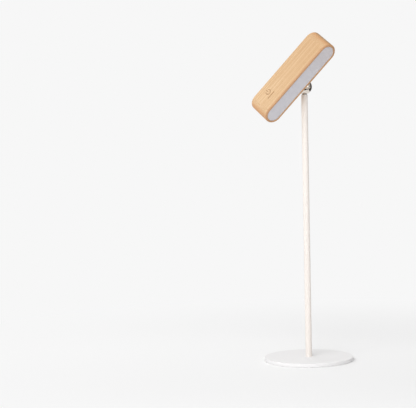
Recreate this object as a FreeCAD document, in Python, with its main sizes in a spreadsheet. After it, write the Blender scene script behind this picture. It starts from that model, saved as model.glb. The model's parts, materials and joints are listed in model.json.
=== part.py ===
"""Magnetic balance lamp: a wooden lamp head held on a steel ball at the top of a round pole.

Millimetres, +Z up, origin at the centre of the underside of the foot.
The stand is modelled in the part's own frame. Everything in the head is modelled in the
head's frame, whose origin is the centre of the ball: X runs along the head from the end
with the touch mark, Y runs from the diffuser to the back, and Z runs from the ball
through the seat to the face with the touch mark.
"""
import FreeCAD, Part
import Sketcher
import math
import os
import re
from FreeCAD import Placement, Rotation, Vector

doc = FreeCAD.newDocument("magnetic_balance_lamp")

# ---------------------------------------------------------------- driving dimensions

DIMENSIONS = [
    # alias, value, meaning
    ("base_dia", 140, "round foot plate, outer diameter"),
    ("base_thick", 5.5, "foot plate, thickness"),
    ("base_round", 0.6, "foot plate, rounded edges"),
    ("pad_thick", 0.5, "non-slip pad under the plate"),
    ("pad_inset", 0.8, "pad edge inside the plate edge"),
    ("pole_dia", 10, "pole tube, outer diameter"),
    ("pole_wall", 1.2, "pole tube, wall"),
    ("pole_top_round", 0.5, "pole tube, rounded edge at the top"),
    ("neck_high", 0.8, "insert above the top of the tube"),
    ("foot_insert_length", 22, "threaded insert in the foot of the pole"),
    ("base_screw_dia", 5, "screw from the plate into the pole"),
    ("base_screw_length", 16, "screw, overall length"),
    ("base_screw_head_dia", 10, "countersunk head of that screw"),
    ("base_screw_hex", 3.5, "its hexagon socket, across corners"),
    ("base_screw_sink", 0.2, "its head below the plate underside"),
    ("plug_length", 18, "insert in the top of the pole"),
    ("ball_height", 431, "ball centre above the floor"),
    ("ball_dia", 24, "steel ball"),
    ("ball_gap", 0.1, "running gap between the ball and its two seats"),
    ("stud_dia", 4, "stud that carries the ball"),
    ("stud_in_ball", 8, "stud length inside the ball"),
    ("stud_in_plug", 10, "stud length inside the pole insert"),
    ("stud_fit", 0.05, "radial running fit of the ball on its stud"),
    ("swivel_angle", -128, "azimuth of the seat around the pole, degrees"),
    ("tilt_angle", 62, "seat direction from straight up, degrees"),
    ("spin_angle", 147, "head turned about the seat direction, degrees"),
    ("seat_face_height", 16.5, "ball centre to the wooden seat face"),
    ("pot_dia", 18, "steel cup around the magnet"),
    ("pot_wall", 2, "cup wall"),
    ("pot_floor", 2.5, "cup floor"),
    ("pot_recess", 1, "cup let into the wood"),
    ("pot_gap", 0.3, "cup rim to ball"),
    ("magnet_gap", 0.5, "magnet to ball"),
    ("glue_gap", 0.1, "glue line around the magnet and the cup"),
    ("ring_hole_dia", 9, "hole of the seat ring"),
    ("ring_fit", 0.05, "radial running fit of the seat ring in the cup"),
    ("ring_top_gap", 0.1, "seat ring to magnet"),
    ("seat_screw_dia", 3, "screw through magnet, cup and wood"),
    ("seat_screw_head_dia", 6, "its countersunk head"),
    ("seat_screw_slot", 0.8, "its driver slot, width and depth"),
    ("backing_size", 16, "threaded steel plate let into the wood from inside"),
    ("backing_thick", 1.5, "thickness of that plate"),
    ("screw_clearance", 0.2, "radial clearance of screw holes"),
    ("head_length", 153, "lamp head along its long axis"),
    ("head_width", 30, "lamp head from seat face to touch face"),
    ("head_depth", 46, "lamp head from diffuser to back"),
    ("edge_round", 2.3, "rounded edges of the wood"),
    ("rim_ease", 0.4, "eased edge of the wood around the diffuser"),
    ("wall", 3.5, "wooden wall around the hollow"),
    ("ledge_length", 8, "wooden ledge at each end for the chassis"),
    ("fit_gap", 0.15, "clearance of parts that slide into the wood"),
    ("diffuser_recess", 0.8, "diffuser below the rim"),
    ("diffuser_thick", 2, "diffuser"),
    ("mixing_depth", 8, "diffuser to light board"),
    ("chassis_wall", 1.2, "side wall of the chassis"),
    ("floor_thick", 2, "floor of the chassis"),
    ("led_board_end", 12, "light board short of the end of the hollow"),
    ("led_board_gap", 0.4, "light board to the side walls of the chassis"),
    ("led_board_thick", 1.2, "light board"),
    ("led_length", 2.8, "light emitting diode along the head"),
    ("led_width", 3.5, "light emitting diode across the head"),
    ("led_thick", 0.7, "light emitting diode"),
    ("led_pitch", 8.5, "spacing of the diodes along the head"),
    ("led_row_pitch", 9, "spacing of the two rows"),
    ("led_inset", 5.5, "last diode from the end of the light board, at least"),
    ("battery_dia", 18.4, "cylindrical cell"),
    ("battery_length", 65, "cylindrical cell"),
    ("battery_cap_dia", 7, "positive cap"),
    ("battery_cap_thick", 0.8, "positive cap"),
    ("battery_end_gap", 1.7, "cell to the rounded end of its hollow"),
    ("battery_pad_thick", 1.3, "foam between cell and wood"),
    ("battery_pad_length", 18, "foam pad along the head"),
    ("battery_pad_width", 12, "foam pad across the head"),
    ("pad_spread", 20, "foam pads from the middle of the cell"),
    ("saddle_spread", 16, "cell saddles from the middle of the cell"),
    ("saddle_thick", 3, "cell saddle"),
    ("saddle_width", 14, "cell saddle across the head"),
    ("saddle_gap", 0.2, "cell to saddle"),
    ("tab_thick", 0.2, "nickel strip on the cell ends"),
    ("tab_width", 6, "nickel strip"),
    ("tab_reach", 3.5, "nickel strip beyond the side of the cell"),
    ("board_end_gap", 5, "control board to the end of its hollow"),
    ("board_cell_gap", 11.5, "control board to the cell, for the leads"),
    ("board_thick", 1.2, "control board"),
    ("board_front_gap", 3, "chassis floor to control board"),
    ("board_back_gap", 0.7, "control board to back wall"),
    ("spring_height", 6, "control board to touch face wall"),
    ("lug_inset", 5, "chassis lugs from the ends of the board"),
    ("lug_width", 6, "chassis lug"),
    ("lug_thick", 4, "chassis lug"),
    ("lug_length", 12, "chassis lug"),
    ("small_screw_dia", 2, "chassis and board screws"),
    ("small_screw_head_dia", 3.8, "their heads"),
    ("small_screw_head", 1.3, "head height"),
    ("chassis_screw_bite", 5, "chassis screws in the wood"),
    ("chassis_screw_inset", 4.5, "chassis screws from the end of the hollow"),
    ("chassis_screw_spread", 4, "chassis screws from the middle of the width"),
    ("board_screw_y", -1, "board screws from the middle of the depth"),
    ("board_screw_bite", 3, "board screws in the lugs"),
    ("usb_width", 7.4, "charging socket"),
    ("usb_length", 5.6, "charging socket"),
    ("usb_high", 2.6, "charging socket"),
    ("usb_shell", 0.3, "charging socket shell"),
    ("usb_tongue", 0.6, "charging socket tongue, thickness"),
    ("usb_tongue_width", 3.7, "charging socket tongue, width"),
    ("usb_plug_depth", 4.5, "charging socket, depth inside"),
    ("usb_recess_width", 12, "finger recess around the socket"),
    ("usb_recess_high", 7.6, "finger recess"),
    ("usb_recess_deep", 2, "finger recess"),
    ("light_pipe_dia", 2, "charge indicator"),
    ("light_pipe_x", 9.5, "charge indicator from the socket"),
    ("light_pipe_tail", 2.5, "charge indicator inside the back wall"),
    ("touch_chip_size", 6, "touch controller, square"),
    ("near_parts_inset", 7, "touch controller and light driver from the board's near end"),
    ("charge_chip_size", 4.5, "charger, square"),
    ("charge_chip_x", 3, "charger from the middle of the board"),
    ("switch_chip_size", 3, "light driver, square"),
    ("chip_high", 1.4, "height of the three chips"),
    ("coil_dia", 5.2, "coil on the control board"),
    ("coil_high", 2.8, "coil on the control board"),
    ("coil_inset", 8, "coil from the board's far end"),
    ("back_row_inset", 7, "touch controller and charger from the board's back edge"),
    ("front_row_inset", 13, "light driver and coil from the board's back edge"),
    ("indicator_length", 2, "charge indicator diode"),
    ("indicator_high", 1.9, "charge indicator diode"),
    ("indicator_gap", 0.2, "charge indicator diode to its light pipe"),
    ("touch_pad_dia", 14, "copper disc behind the touch mark"),
    ("touch_pad_thick", 0.2, "copper disc"),
    ("spring_dia", 5, "touch spring, mean diameter"),
    ("spring_wire", 0.6, "touch spring wire"),
    ("spring_pitch", 1.3, "touch spring"),
    ("mark_inset", 34.5, "touch mark from the near end of the head"),
    ("mark_y", 4.5, "touch mark from the middle towards the back"),
    ("mark_dia", 8.4, "ring of the touch mark"),
    ("mark_line", 1, "line width of the touch mark"),
    ("mark_deep", 0.35, "depth of the touch mark"),
    ("mark_gap_angle", 80, "opening of the ring, degrees"),
    ("stem_length", 4.6, "stem of the touch mark"),
    ("stem_start", 0.9, "stem from the ring centre"),
    ("bar_length", 14.5, "bar under the ring"),
    ("bar_y", -9.4, "bar from the ring centre"),
    ("bar_x", -0.4, "bar middle from the ring centre"),
    ("battery_lead_dia", 1.3, "insulated lead"),
    ("led_lead_dia", 1, "insulated lead"),
    ("lead_side", 9, "cell lead beside the saddles, from the middle of the width"),
    ("lead_gap", 1.8, "cell lead from the side of the cell"),
    ("black_lead_offset", 1, "black lead from the middle of the width"),
    ("lead_hole_dia", 5, "hole in the chassis floor for the light board leads"),
    ("lead_hole_gap", 6, "that hole from the end of the cell"),
    ("lead_start", 4, "straight start of a cell lead at its tab"),
    ("lead_end", 3, "leads end this far inside the board's edge"),
    ("lead_rise", 2, "leads come down to the board from this height"),
    ("red_lead_y", 14, "end of the red lead from the board's front edge"),
    ("black_lead_y", 8, "end of the black lead from the board's front edge"),
    ("led_lead_y", 2, "ends of the light board leads from the board's front edge"),
    ("led_lead_spread", 1.2, "light board leads from their middle"),
]

sheet = doc.addObject("Spreadsheet::Sheet", "Sizes")
for row, (alias, size, meaning) in enumerate(DIMENSIONS, start=1):
    sheet.set(f"A{row}", alias)
    sheet.set(f"B{row}", str(size))
    sheet.set(f"C{row}", meaning)
    sheet.setAlias(f"B{row}", alias)
doc.recompute()

ALIASES = {alias for alias, size, meaning in DIMENSIONS}

# Levels through the depth of the head, from the diffuser face to the back face.
FRONT = "(-head_depth / 2)"
DIFFUSER_FRONT = f"({FRONT} + diffuser_recess)"
DIFFUSER_BACK = f"({DIFFUSER_FRONT} + diffuser_thick)"
LED_FRONT = f"({DIFFUSER_BACK} + mixing_depth)"
FLOOR_FRONT = f"({LED_FRONT} + led_board_thick)"
LEDGE = f"({FLOOR_FRONT} + floor_thick)"
BACK_WALL = "(head_depth / 2 - wall)"
BACK = "(head_depth / 2)"
BATTERY_Y = f"({BACK_WALL} - battery_pad_thick - battery_dia / 2)"

# Levels through the width of the head, from the seat face to the touch face.
SEAT_FACE = "seat_face_height"
INNER_SEAT = f"({SEAT_FACE} + wall)"
MIDDLE = f"({SEAT_FACE} + head_width / 2)"
TOUCH_FACE = f"({SEAT_FACE} + head_width)"
INNER_TOUCH = f"({TOUCH_FACE} - wall)"
BOARD_TOP = f"({INNER_TOUCH} - spring_height)"
BOARD_LOW = f"({BOARD_TOP} - board_thick)"

# Levels of the magnetic seat, from the ball outwards.
BALL_RADIUS = "(ball_dia / 2)"
BORE_RADIUS = "(pot_dia / 2 - pot_wall)"
RING_RADIUS = f"({BORE_RADIUS} - ring_fit)"
MAGNET_FRONT = f"({BALL_RADIUS} + magnet_gap)"
POT_BACK = f"({SEAT_FACE} + pot_recess)"
MAGNET_BACK = f"({POT_BACK} - pot_floor)"
POT_RIM = f"sqrt(({BALL_RADIUS} + pot_gap)^2 - (pot_dia / 2)^2)"
RING_RIM = f"sqrt(({BALL_RADIUS} + ball_gap)^2 - {RING_RADIUS}^2)"
SEAT_SCREW_TAPER = "(seat_screw_head_dia / 2 - seat_screw_dia / 2)"

# Levels of the stand.
PLATE_TOP = "(pad_thick + base_thick)"
TUBE_BORE_RADIUS = "(pole_dia / 2 - pole_wall)"
NECK_TOP = f"(ball_height - sqrt(({BALL_RADIUS} + ball_gap)^2 - {TUBE_BORE_RADIUS}^2))"
TUBE_TOP = f"({NECK_TOP} - neck_high)"
BALL_BOTTOM = f"(ball_height - {BALL_RADIUS})"

# Outlines of the hollow in the wood, and of what slides into it.
HOLLOW_LENGTH = "(head_length - 2 * wall)"
HOLLOW_WIDTH = "(head_width - 2 * wall)"
CELL_HOLLOW_LENGTH = f"({HOLLOW_LENGTH} - 2 * ledge_length)"
TRAY_LENGTH = f"({HOLLOW_LENGTH} - 2 * fit_gap)"
TRAY_WIDTH = f"({HOLLOW_WIDTH} - 2 * fit_gap)"
LED_BOARD_LENGTH = f"({HOLLOW_LENGTH} - 2 * led_board_end)"
LED_BOARD_WIDTH = f"({TRAY_WIDTH} - 2 * (chassis_wall + led_board_gap))"

# Places along the head: the cell at the far end, and the control board in the room beside it.
CORNER_REACH = f"sqrt(({HOLLOW_WIDTH} / 2)^2 - (battery_dia / 2)^2)"
CELL_CORNERS = f"({CELL_HOLLOW_LENGTH} / 2 - {HOLLOW_WIDTH} / 2 + {CORNER_REACH})"
CELL_FAR = f"({CELL_CORNERS} - battery_end_gap - tab_thick)"
CELL_NEAR = f"({CELL_FAR} - battery_length)"
CELL_X = f"(({CELL_NEAR} + {CELL_FAR}) / 2)"
BOARD_NEAR = f"(board_end_gap - {CELL_HOLLOW_LENGTH} / 2)"
BOARD_FAR = f"({CELL_NEAR} - board_cell_gap)"
BOARD_X = f"(({BOARD_NEAR} + {BOARD_FAR}) / 2)"
BOARD_SCREW_PLACES = [("near", f"({BOARD_NEAR} + lug_inset)"), ("far", f"({BOARD_FAR} - lug_inset)")]
MARK_X = "(mark_inset - head_length / 2)"
LEAD_HOLE_X = f"({CELL_NEAR} - lead_hole_gap)"

# Edges of the control board, the charging socket and the light pipe.
BOARD_FRONT = f"({LEDGE} + board_front_gap)"
BOARD_BACK = f"({BACK_WALL} - board_back_gap)"
BACK_ROW = f"({BOARD_BACK} - back_row_inset)"
FRONT_ROW = f"({BOARD_BACK} - front_row_inset)"
USB_MIDDLE = f"({BOARD_LOW} - usb_high / 2)"
USB_MOUTH = f"({BACK} - usb_recess_deep)"
USB_ROOM_WIDTH = "(usb_width - 2 * usb_shell)"
USB_ROOM_HIGH = "(usb_high - 2 * usb_shell)"
PIPE_X = f"({BOARD_X} + light_pipe_x)"
PIPE_END = f"({BACK_WALL} - light_pipe_tail)"

# Lines that the leads follow, and where they end on the control board.
CELL_SIDE = f"({BATTERY_Y} - battery_dia / 2 - lead_gap)"
BESIDE_SADDLES = f"({MIDDLE} + lead_side)"
SOLDER_X = f"({BOARD_FAR} - lead_end)"
CELL_LEAD_SOLDER = f"({BOARD_TOP} + battery_lead_dia / 2)"
LED_LEAD_SOLDER = f"({BOARD_TOP} + led_lead_dia / 2)"

# How far a cutter starts outside what it cuts.
OVERCUT = 1

# Two points or levels closer than this are the same.
SAME = 0.001

# Share of a lead's straight run that the bend at each end takes up.
BEND_SHARE = 0.45

# Share of its head's height that the base screw's socket goes in.
SOCKET_SHARE = 0.8

UP = Vector(0, 0, 1)
SIDEWAYS = Vector(0, 1, 0)


# ---------------------------------------------------------------- helpers

def cells(formula):
    """Write a formula of plain dimension names as references to the sheet."""
    def refer(word):
        return "Sizes." + word.group() if word.group() in ALIASES else word.group()
    return re.sub(r"[A-Za-z_]\w*", refer, str(formula))


def value(formula):
    """The present value of a formula."""
    return float(sheet.evalExpression(cells(formula)))


def bind(obj, name, formula):
    """Tie a property of an object to a formula of the sheet's dimensions."""
    obj.setExpression(name, cells(formula))


DIRECTIONS = {
    "X": Rotation(Vector(0, 1, 0), 90),
    "-X": Rotation(Vector(0, 1, 0), -90),
    "Y": Rotation(Vector(1, 0, 0), -90),
    "-Y": Rotation(Vector(1, 0, 0), 90),
    "Z": Rotation(),
    "-Z": Rotation(Vector(1, 0, 0), 180),
}


def place(obj, at, turn):
    """Put an object's own origin at three formulas, turned as given."""
    obj.Placement = Placement(Vector(), turn)
    for axis, formula in zip("xyz", at):
        bind(obj, "Placement.Base." + axis, formula)
    return obj


def cylinder(name, radius, length, at=(0, 0, 0), along="Z"):
    """Round bar that starts at a point and runs along an axis."""
    obj = doc.addObject("Part::Cylinder", name)
    bind(obj, "Radius", radius)
    bind(obj, "Height", length)
    return place(obj, at, DIRECTIONS[along])


def cone(name, start_radius, end_radius, length, at, along="Z"):
    """Tapered bar that starts at a point and runs along an axis."""
    obj = doc.addObject("Part::Cone", name)
    bind(obj, "Radius1", start_radius)
    bind(obj, "Radius2", end_radius)
    bind(obj, "Height", length)
    return place(obj, at, DIRECTIONS[along])


def sphere(name, radius, at=(0, 0, 0)):
    obj = doc.addObject("Part::Sphere", name)
    bind(obj, "Radius", radius)
    return place(obj, at, Rotation())


def block(name, x_span, y_span, z_span):
    """Box between a low and a high formula on each axis."""
    obj = doc.addObject("Part::Box", name)
    spans = (x_span, y_span, z_span)
    for side, (low, high) in zip(("Length", "Width", "Height"), spans):
        bind(obj, side, f"({high}) - ({low})")
    return place(obj, [low for low, high in spans], Rotation())


def around(middle, width):
    """The low and high formula of a span centred on a middle."""
    return (f"{middle} - {width} / 2", f"{middle} + {width} / 2")


def fuse(name, *solids):
    obj = doc.addObject("Part::MultiFuse", name)
    obj.Shapes = list(solids)
    return obj


def cut(name, base, *tools):
    """Base less its tools."""
    obj = doc.addObject("Part::Cut", name)
    obj.Base = base
    obj.Tool = tools[0] if len(tools) == 1 else fuse(name + "_tools", *tools)
    return obj


def group(name, solids):
    """Separate solids kept in one node."""
    obj = doc.addObject("Part::Compound", name)
    obj.Links = list(solids)
    return obj


def origin_plane(body, role):
    return next(item for item in body.Origin.OriginFeatures if item.Role == role)


def attach(sketch, plane):
    sketch.AttachmentSupport = [(plane, "")]
    sketch.MapMode = "FlatFace"


def make_constraint_adder(sketch):
    """A function that adds a constraint and ties its value to a formula."""
    def add_constraint(formula, *terms):
        index = sketch.addConstraint(Sketcher.Constraint(*terms))
        if formula is not None:
            bind(sketch, f"Constraints[{index}]", formula)
    return add_constraint


def stadium_sketch(body, name, length, width, level):
    """Stadium outline across the depth of the head, at the given level."""
    sketch = body.newObject("Sketcher::SketchObject", name)
    attach(sketch, origin_plane(body, "XZ_Plane"))
    bind(sketch, "AttachmentOffset.Base.z", f"-{level}")
    half_run = f"({length} - {width}) / 2"
    run, radius, middle = value(half_run), value(width) / 2, value(MIDDLE)
    right, left = Vector(run, middle, 0), Vector(-run, middle, 0)
    normal, up = Vector(0, 0, 1), Vector(0, radius, 0)
    quarter = math.pi / 2
    sketch.addGeometry([
        Part.ArcOfCircle(Part.Circle(right, normal, radius), -quarter, quarter),
        Part.LineSegment(right + up, left + up),
        Part.ArcOfCircle(Part.Circle(left, normal, radius), quarter, 3 * quarter),
        Part.LineSegment(left - up, right - up),
    ], False)
    add_constraint = make_constraint_adder(sketch)
    for index in range(4):
        add_constraint(None, "Tangent", index, 2, (index + 1) % 4, 1)
    add_constraint(f"{width} / 2", "Radius", 0, radius)
    add_constraint(None, "Equal", 0, 2)
    add_constraint(half_run, "DistanceX", -1, 1, 0, 3, run)
    add_constraint(half_run, "DistanceX", 2, 3, -1, 1, run)
    add_constraint(MIDDLE, "DistanceY", -1, 1, 0, 3, middle)
    add_constraint(MIDDLE, "DistanceY", -1, 1, 2, 3, middle)
    return sketch


def stadium(name, length, width, low, high):
    """PartDesign body: a stadium plate between two levels of the head's depth."""
    body = doc.addObject("PartDesign::Body", name)
    pad = body.newObject("PartDesign::Pad", name + "_pad")
    pad.Profile = stadium_sketch(body, name + "_outline", length, width, low)
    pad.Reversed = True
    bind(pad, "Length", f"({high}) - ({low})")
    body.Tip = pad
    return body


def stadium_pocket(body, name, length, width, low, high):
    """Hollow a stadium body from one level to another."""
    pocket = body.newObject("PartDesign::Pocket", name)
    pocket.Profile = stadium_sketch(body, name + "_outline", length, width, low)
    bind(pocket, "Length", f"({high}) - ({low})")
    body.Tip = pocket


def round_edges(body, name, radius, wanted):
    """Fillet the edges of a body's last feature that the test accepts."""
    doc.recompute()
    base = body.Tip
    edges = [f"Edge{number}" for number, edge in enumerate(base.Shape.Edges, start=1) if wanted(edge)]
    fillet = body.newObject("PartDesign::Fillet", name)
    fillet.Base = (base, edges)
    bind(fillet, "Radius", radius)
    body.Tip = fillet


def turned(name, profile):
    """PartDesign body turned about Z from a closed outline of (radius, height) formulas."""
    body = doc.addObject("PartDesign::Body", name)
    sketch = body.newObject("Sketcher::SketchObject", name + "_outline")
    attach(sketch, origin_plane(body, "XZ_Plane"))
    corners = [Vector(value(radius), value(height), 0) for radius, height in profile]
    sketch.addGeometry([
        Part.LineSegment(start, end) for start, end in zip(corners, corners[1:] + corners[:1])
    ], False)
    add_constraint = make_constraint_adder(sketch)
    count = len(profile)
    for index in range(count):
        add_constraint(None, "Coincident", index, 2, (index + 1) % count, 1)
    for index, (radius, height) in enumerate(profile):
        corner = corners[index]
        add_constraint(radius, "DistanceX", -1, 1, index, 1, corner.x)
        add_constraint(height, "DistanceY", -1, 1, index, 1, corner.y)
    turning = body.newObject("PartDesign::Revolution", name + "_turning")
    turning.Profile = sketch
    turning.ReferenceAxis = (sketch, ["V_Axis"])
    turning.Angle = 360
    body.Tip = turning
    return body


def pan_screw(name, length, at, along):
    """Small screw: 'at' is the underside of its head, and the shank runs along an axis."""
    back = {"Y": "-Y", "-Z": "Z"}[along]
    shank = cylinder(name + "_shank", "small_screw_dia / 2", length, at, along)
    head = cylinder(name + "_head", "small_screw_head_dia / 2", "small_screw_head", at, back)
    return fuse(name, shank, head)


def lead(name, diameter, points):
    """Insulated lead: straight runs joined by tangent arcs as wide as the runs allow."""
    corners = [Vector(*[value(formula) for formula in point]) for point in points]
    edges = []
    start = corners[0]
    for before, corner, after in zip(corners, corners[1:], corners[2:]):
        arrive, leave = (corner - before), (after - corner)
        turn = arrive.getAngle(leave)
        reach = BEND_SHARE * min(arrive.Length, leave.Length)
        radius = reach / math.tan(turn / 2)
        arrive.normalize()
        leave.normalize()
        entry, departure = corner - arrive * reach, corner + leave * reach
        inward = (leave - arrive).normalize()
        middle = corner + inward * (radius / math.cos(turn / 2) - radius)
        edges.append(Part.LineSegment(start, entry).toShape())
        edges.append(Part.Arc(entry, middle, departure).toShape())
        start = departure
    edges.append(Part.LineSegment(start, corners[-1]).toShape())
    path = Part.Wire(edges)
    first_run = corners[1] - corners[0]
    section = Part.Wire(Part.makeCircle(value(diameter) / 2, corners[0], first_run))
    obj = doc.addObject("Part::Feature", name)
    obj.Shape = path.makePipeShell([section], True, False)
    return obj


# ---------------------------------------------------------------- stand

def make_base_pad():
    return cylinder("base_pad", "base_dia / 2 - pad_inset", "pad_thick")


def make_base_plate():
    hole = "(base_screw_dia / 2 + screw_clearance)"
    sink = "(base_screw_head_dia / 2 + screw_clearance)"
    sink_depth = f"({sink} - {hole} + base_screw_sink)"
    body = turned("base_plate", [
        (hole, PLATE_TOP),
        ("base_dia / 2", PLATE_TOP),
        ("base_dia / 2", "pad_thick"),
        (sink, "pad_thick"),
        (sink, "pad_thick + base_screw_sink"),
        (hole, f"pad_thick + {sink_depth}"),
    ])
    rim = value("base_dia / 2")
    round_edges(body, "plate_rounding", "base_round", lambda edge: (
        edge.Curve.TypeId == "Part::GeomCircle" and abs(edge.Curve.Radius - rim) < SAME))
    return body


def make_base_screw():
    low = "(pad_thick + base_screw_sink)"
    taper = "(base_screw_head_dia / 2 - base_screw_dia / 2)"
    head = cone("base_screw_head", "base_screw_head_dia / 2", "base_screw_dia / 2", taper, (0, 0, low))
    shank = cylinder("base_screw_shank", "base_screw_dia / 2", f"base_screw_length - {taper}",
                     (0, 0, f"{low} + {taper}"))
    socket = doc.addObject("Part::Prism", "base_screw_socket")
    socket.Polygon = 6
    bind(socket, "Circumradius", "base_screw_hex / 2")
    bind(socket, "Height", f"{taper} * {SOCKET_SHARE} + {OVERCUT}")
    place(socket, (0, 0, f"{low} - {OVERCUT}"), Rotation())
    return cut("base_screw", fuse("base_screw_solid", head, shank), socket)


def make_pole_tube():
    body = turned("pole_tube", [
        (TUBE_BORE_RADIUS, PLATE_TOP),
        ("pole_dia / 2", PLATE_TOP),
        ("pole_dia / 2", TUBE_TOP),
        (TUBE_BORE_RADIUS, TUBE_TOP),
    ])
    rim, top = value("pole_dia / 2"), value(TUBE_TOP)
    round_edges(body, "tube_rounding", "pole_top_round", lambda edge: (
        edge.Curve.TypeId == "Part::GeomCircle" and abs(edge.Curve.Radius - rim) < SAME
        and abs(edge.Curve.Center.z - top) < SAME))
    return body


def make_pole_foot_insert():
    bar = cylinder("foot_bar", TUBE_BORE_RADIUS, "foot_insert_length", (0, 0, PLATE_TOP))
    thread = cylinder("foot_thread", "base_screw_dia / 2", f"base_screw_length + {OVERCUT}",
                      (0, 0, "pad_thick"))
    return cut("pole_foot_insert", bar, thread)


def make_pole_top_plug():
    bar = cylinder("plug_bar", TUBE_BORE_RADIUS, "plug_length", (0, 0, f"{NECK_TOP} - plug_length"))
    dish = sphere("plug_dish", f"{BALL_RADIUS} + ball_gap", (0, 0, "ball_height"))
    thread = cylinder("plug_thread", "stud_dia / 2", "stud_in_plug + stud_in_ball",
                      (0, 0, f"{BALL_BOTTOM} - stud_in_plug"))
    return cut("pole_top_plug", bar, dish, thread)


def make_ball_stud():
    return cylinder("ball_stud", "stud_dia / 2", "stud_in_plug + stud_in_ball",
                    (0, 0, f"{BALL_BOTTOM} - stud_in_plug"))


def make_steel_ball():
    ball = sphere("ball_solid", BALL_RADIUS, (0, 0, "ball_height"))
    hole = cylinder("ball_hole", "stud_dia / 2 + stud_fit", f"stud_in_ball + ball_gap + {OVERCUT}",
                    (0, 0, f"{BALL_BOTTOM} - {OVERCUT}"))
    return cut("steel_ball", ball, hole)


# ---------------------------------------------------------------- magnetic seat

def make_magnet_pot():
    outside = cylinder("pot_outside", "pot_dia / 2", f"{POT_BACK} - {POT_RIM}", (0, 0, POT_RIM))
    bore = cylinder("pot_bore", BORE_RADIUS, MAGNET_BACK)
    dish = sphere("pot_dish", f"{BALL_RADIUS} + pot_gap")
    hole = cylinder("pot_hole", "seat_screw_dia / 2 + screw_clearance", f"{POT_BACK} + {OVERCUT}")
    return cut("magnet_pot", outside, bore, dish, hole)


def make_seat_magnet():
    disc = cylinder("magnet_disc", f"{BORE_RADIUS} - glue_gap", f"{MAGNET_BACK} - {MAGNET_FRONT}",
                    (0, 0, MAGNET_FRONT))
    hole = cylinder("magnet_hole", "seat_screw_dia / 2 + screw_clearance", f"{MAGNET_BACK} + {OVERCUT}")
    sink = cone("magnet_sink", "seat_screw_head_dia / 2 + screw_clearance",
                "seat_screw_dia / 2 + screw_clearance", SEAT_SCREW_TAPER, (0, 0, MAGNET_FRONT))
    return cut("seat_magnet", disc, hole, sink)


def make_seat_ring():
    top = f"({MAGNET_FRONT} - ring_top_gap)"
    disc = cylinder("ring_disc", RING_RADIUS, f"{top} - {RING_RIM}", (0, 0, RING_RIM))
    hole = cylinder("ring_hole", "ring_hole_dia / 2", f"{top} + {OVERCUT}")
    dish = sphere("ring_dish", f"{BALL_RADIUS} + ball_gap")
    return cut("seat_ring", disc, hole, dish)


def make_seat_screw():
    shank_start = f"({MAGNET_FRONT} + {SEAT_SCREW_TAPER})"
    head = cone("seat_screw_head", "seat_screw_head_dia / 2", "seat_screw_dia / 2", SEAT_SCREW_TAPER,
                (0, 0, MAGNET_FRONT))
    shank = cylinder("seat_screw_shank", "seat_screw_dia / 2", f"{INNER_SEAT} - {shank_start}",
                     (0, 0, shank_start))
    slot = block("seat_screw_slot_cutter", around("0", "seat_screw_slot"),
                 around("0", "2 * seat_screw_head_dia"),
                 (f"{MAGNET_FRONT} - {OVERCUT}", f"{MAGNET_FRONT} + seat_screw_slot"))
    return cut("seat_screw", fuse("seat_screw_solid", head, shank), slot)


def make_backing_plate():
    plate = block("backing_solid", around("0", "backing_size"), around("0", "backing_size"),
                  (f"{INNER_SEAT} - backing_thick", INNER_SEAT))
    thread = cylinder("backing_thread", "seat_screw_dia / 2", f"wall + {OVERCUT}", (0, 0, SEAT_FACE))
    return cut("backing_plate", plate, thread)


# ---------------------------------------------------------------- wooden housing

def make_touch_mark():
    """Cutters of the standby mark: an open ring, its stem and a bar below it."""
    low = f"({TOUCH_FACE} - mark_deep)"
    high = f"({TOUCH_FACE} + {OVERCUT})"
    start = Rotation(UP, 90 + value("mark_gap_angle / 2"))

    def sector(name, radius):
        disc = cylinder(name, radius, f"{high} - {low}")
        bind(disc, "Angle", "360 - mark_gap_angle")
        return place(disc, (MARK_X, "mark_y", low), start)
    ring = cut("mark_ring", sector("mark_outer", "mark_dia / 2 + mark_line / 2"),
               sector("mark_inner", "mark_dia / 2 - mark_line / 2"))
    stem = block("mark_stem", around(MARK_X, "mark_line"),
                 ("mark_y + stem_start", "mark_y + stem_start + stem_length"), (low, high))
    bar = block("mark_bar", around(f"({MARK_X} + bar_x)", "bar_length"),
                around("mark_y + bar_y", "mark_line"), (low, high))
    return [ring, stem, bar]


def chassis_screw_places():
    """Name and (x, z) formulas of the four chassis screws."""
    reach = f"({HOLLOW_LENGTH} / 2 - chassis_screw_inset)"
    return [
        (f"{end}{side}", (sign_x + reach, f"{MIDDLE} {sign_z} chassis_screw_spread"))
        for end, sign_x in (("near", "-"), ("far", ""))
        for side, sign_z in (("_seat", "-"), ("_touch", "+"))
    ]


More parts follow.
